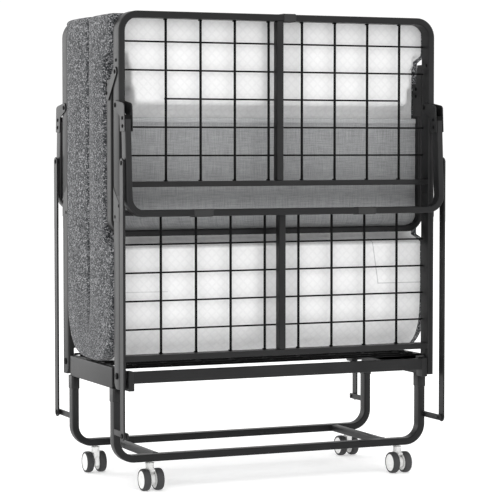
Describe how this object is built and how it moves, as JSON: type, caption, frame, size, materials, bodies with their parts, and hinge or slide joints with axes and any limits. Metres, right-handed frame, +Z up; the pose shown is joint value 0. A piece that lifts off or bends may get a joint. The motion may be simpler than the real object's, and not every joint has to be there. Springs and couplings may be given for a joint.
{
  "type": "rollaway bed",
  "caption": "Folding guest bed stored upright: a thick mattress folded between two hinged wire-grid frames with swing-out U legs on a low wheeled cart.",
  "frame": {"origin": "on the floor under the middle of the folded bed", "axes": "+Z up, +X across the bed's width, -Y towards the half that carries the headboard"},
  "size_m": [0.8046, 0.4972, 1.0731],
  "materials": {
    "black_frame": "matte black powder coat on steel tube",
    "black_bolt": "black steel bolt",
    "grey_linen": "grey linen-look weave",
    "mattress_grey": "grey melange border fabric with a white quilted underside, over foam",
    "caster_white": "white nylon caster housing",
    "caster_tyre": "soft black tread on a white wheel",
    "black_rubber": "black rubber sleeve"
  },
  "bodies": {
    "cart": {"cart_front_tube": "black_frame", "cart_rear_tube": "black_frame", "cross_bar_left": "black_frame", "cross_bar_right": "black_frame", "side_beam_left": "black_frame", "side_beam_right": "black_frame", "front_rail": "black_frame", "rear_rail": "black_frame", "mid_deck_grid": "black_frame", "fold_bolt_front_left": "black_bolt", "fold_bolt_front_right": "black_bolt", "fold_bolt_rear_left": "black_bolt", "fold_bolt_rear_right": "black_bolt", "mattress_fold": "mattress_grey"},
    "head_panel": {"head_upper_tube": "black_frame", "head_upper_crossbar": "black_frame", "head_upper_bar": "black_frame", "head_upper_grid": "black_frame", "head_bumper": "black_rubber", "head_lower_frame": "black_frame", "head_lower_bar": "black_frame", "head_lower_grid": "black_frame", "headboard_tube": "black_frame", "headboard_fabric": "grey_linen", "headboard_plate_left": "black_frame", "headboard_plate_right": "black_frame", "mattress_head": "mattress_grey"},
    "foot_panel": {"foot_upper_tube": "black_frame", "foot_upper_crossbar": "black_frame", "foot_upper_bar": "black_frame", "foot_upper_grid": "black_frame", "foot_bumper": "black_rubber", "foot_lower_frame": "black_frame", "foot_lower_bar": "black_frame", "foot_lower_grid": "black_frame", "mattress_foot": "mattress_grey"},
    "head_legs": {"head_leg_tube": "black_frame", "head_leg_plate_left": "black_frame", "head_leg_plate_right": "black_frame"},
    "head_rods": {"head_rod_left": "black_frame", "head_rod_right": "black_frame"},
    "foot_legs": {"foot_leg_tube": "black_frame", "foot_leg_plate_left": "black_frame", "foot_leg_plate_right": "black_frame"},
    "foot_rods": {"foot_rod_left": "black_frame", "foot_rod_right": "black_frame"},
    "caster_front_left": {"caster_body_front_left": "caster_white"},
    "wheel_front_left_left": {"wheel_front_left_left": "caster_tyre"},
    "wheel_front_left_right": {"wheel_front_left_right": "caster_tyre"},
    "caster_front_right": {"caster_body_front_right": "caster_white"},
    "wheel_front_right_left": {"wheel_front_right_left": "caster_tyre"},
    "wheel_front_right_right": {"wheel_front_right_right": "caster_tyre"},
    "caster_rear_left": {"caster_body_rear_left": "caster_white"},
    "wheel_rear_left_left": {"wheel_rear_left_left": "caster_tyre"},
    "wheel_rear_left_right": {"wheel_rear_left_right": "caster_tyre"},
    "caster_rear_right": {"caster_body_rear_right": "caster_white"},
    "wheel_rear_right_left": {"wheel_rear_right_left": "caster_tyre"},
    "wheel_rear_right_right": {"wheel_rear_right_right": "caster_tyre"}
  },
  "joints": [
    {"name": "head_fold", "type": "hinge", "parent": "cart", "child": "head_panel", "pos_m": [0, -0.176, 0.2645], "axis": [1, 0, 0], "range_deg": [0, 91]},
    {"name": "head_leg_swing", "type": "hinge", "parent": "head_panel", "child": "head_legs", "pos_m": [0, -0.176, 0.8635], "axis": [-1, 0, 0], "range_deg": [0, 91]},
    {"name": "head_rod_swing", "type": "hinge", "parent": "cart", "child": "head_rods", "pos_m": [0, -0.22604, 0.1375], "axis": [1, 0, 0], "range_deg": [0, 91]},
    {"name": "foot_fold", "type": "hinge", "parent": "cart", "child": "foot_panel", "pos_m": [0, 0.176, 0.2645], "axis": [-1, 0, 0], "range_deg": [0, 91]},
    {"name": "foot_leg_swing", "type": "hinge", "parent": "foot_panel", "child": "foot_legs", "pos_m": [0, 0.176, 0.8635], "axis": [1, 0, 0], "range_deg": [0, 91]},
    {"name": "foot_rod_swing", "type": "hinge", "parent": "cart", "child": "foot_rods", "pos_m": [0, 0.22604, 0.1375], "axis": [-1, 0, 0], "range_deg": [0, 91]},
    {"name": "caster_front_left_swivel", "type": "hinge", "parent": "cart", "child": "caster_front_left", "pos_m": [-0.303, -0.1415, 0.05], "axis": [0, 0, 1], "continuous": true},
    {"name": "wheel_front_left_left_roll", "type": "hinge", "parent": "caster_front_left", "child": "wheel_front_left_left", "pos_m": [-0.303, -0.1505, 0.025], "axis": [1, 0, 0], "continuous": true},
    {"name": "wheel_front_left_right_roll", "type": "hinge", "parent": "caster_front_left", "child": "wheel_front_left_right", "pos_m": [-0.303, -0.1505, 0.025], "axis": [1, 0, 0], "continuous": true},
    {"name": "caster_front_right_swivel", "type": "hinge", "parent": "cart", "child": "caster_front_right", "pos_m": [0.325, -0.1415, 0.05], "axis": [0, 0, 1], "continuous": true},
    {"name": "wheel_front_right_left_roll", "type": "hinge", "parent": "caster_front_right", "child": "wheel_front_right_left", "pos_m": [0.325, -0.1505, 0.025], "axis": [1, 0, 0], "continuous": true},
    {"name": "wheel_front_right_right_roll", "type": "hinge", "parent": "caster_front_right", "child": "wheel_front_right_right", "pos_m": [0.325, -0.1505, 0.025], "axis": [1, 0, 0], "continuous": true},
    {"name": "caster_rear_left_swivel", "type": "hinge", "parent": "cart", "child": "caster_rear_left", "pos_m": [-0.332, 0.1415, 0.05], "axis": [0, 0, 1], "continuous": true},
    {"name": "wheel_rear_left_left_roll", "type": "hinge", "parent": "caster_rear_left", "child": "wheel_rear_left_left", "pos_m": [-0.332, 0.1505, 0.025], "axis": [1, 0, 0], "continuous": true},
    {"name": "wheel_rear_left_right_roll", "type": "hinge", "parent": "caster_rear_left", "child": "wheel_rear_left_right", "pos_m": [-0.332, 0.1505, 0.025], "axis": [1, 0, 0], "continuous": true},
    {"name": "caster_rear_right_swivel", "type": "hinge", "parent": "cart", "child": "caster_rear_right", "pos_m": [0.336, 0.1415, 0.05], "axis": [0, 0, 1], "continuous": true},
    {"name": "wheel_rear_right_left_roll", "type": "hinge", "parent": "caster_rear_right", "child": "wheel_rear_right_left", "pos_m": [0.336, 0.1505, 0.025], "axis": [1, 0, 0], "continuous": true},
    {"name": "wheel_rear_right_right_roll", "type": "hinge", "parent": "caster_rear_right", "child": "wheel_rear_right_right", "pos_m": [0.336, 0.1505, 0.025], "axis": [1, 0, 0], "continuous": true}
  ],
  "couplings": [
    {"joint": "head_leg_swing", "follows": "head_fold", "ratio": 1},
    {"joint": "head_rod_swing", "follows": "head_fold", "ratio": 1},
    {"joint": "foot_leg_swing", "follows": "foot_fold", "ratio": 1},
    {"joint": "foot_rod_swing", "follows": "foot_fold", "ratio": 1}
  ]
}
